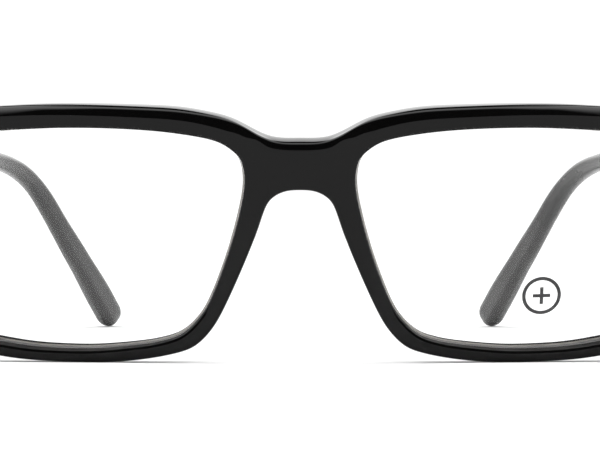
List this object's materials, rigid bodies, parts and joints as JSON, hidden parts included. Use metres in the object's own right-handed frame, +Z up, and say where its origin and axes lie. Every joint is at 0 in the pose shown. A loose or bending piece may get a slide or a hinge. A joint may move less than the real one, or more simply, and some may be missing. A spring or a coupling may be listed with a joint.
{
  "type": "eyeglasses",
  "caption": "Rectangular black acetate eyeglasses with clear demo lenses, spring-free barrel hinges and folding temples, standing open.",
  "frame": {"origin": "on the surface it stands on, under the middle of the whole pair of glasses (bounding box bottom centre)", "axes": "+X towards the wearer's left, front faces -Y, temples run back along +Y, +Z up; the plane X = 0 is the mirror plane"},
  "size_m": [0.1444, 0.147, 0.0427],
  "materials": {
    "black_acetate": "polished black cellulose acetate",
    "temple_acetate": "polished black cellulose acetate",
    "demo_lens": "clear acrylic",
    "hinge_metal": "nickel silver, tumbled",
    "screw_metal": "polished stainless",
    "core_wire": "drawn wire"
  },
  "bodies": {
    "front": {"frame_front": "black_acetate", "lens_left": "demo_lens", "nose_pad_left": "black_acetate", "front_hinge_left": "hinge_metal", "hinge_screw_left": "screw_metal", "front_pin_lower_left": "screw_metal", "front_pin_upper_left": "screw_metal", "lens_right": "demo_lens", "nose_pad_right": "black_acetate", "front_hinge_right": "hinge_metal", "hinge_screw_right": "screw_metal", "front_pin_lower_right": "screw_metal", "front_pin_upper_right": "screw_metal"},
    "temple_l": {"temple_left": "temple_acetate", "temple_core_left": "core_wire", "temple_hinge_left": "hinge_metal", "temple_pin_front_left": "screw_metal", "temple_pin_back_left": "screw_metal"},
    "temple_r": {"temple_right": "temple_acetate", "temple_core_right": "core_wire", "temple_hinge_right": "hinge_metal", "temple_pin_front_right": "screw_metal", "temple_pin_back_right": "screw_metal"}
  },
  "joints": [
    {"name": "left_temple_fold", "type": "hinge", "parent": "front", "child": "temple_l", "pos_m": [0.066, -0.05695, 0.03488], "axis": [0, 0, 1], "range_deg": [0, 78]},
    {"name": "right_temple_fold", "type": "hinge", "parent": "front", "child": "temple_r", "pos_m": [-0.066, -0.05695, 0.03488], "axis": [0, 0, -1], "range_deg": [0, 68]}
  ]
}
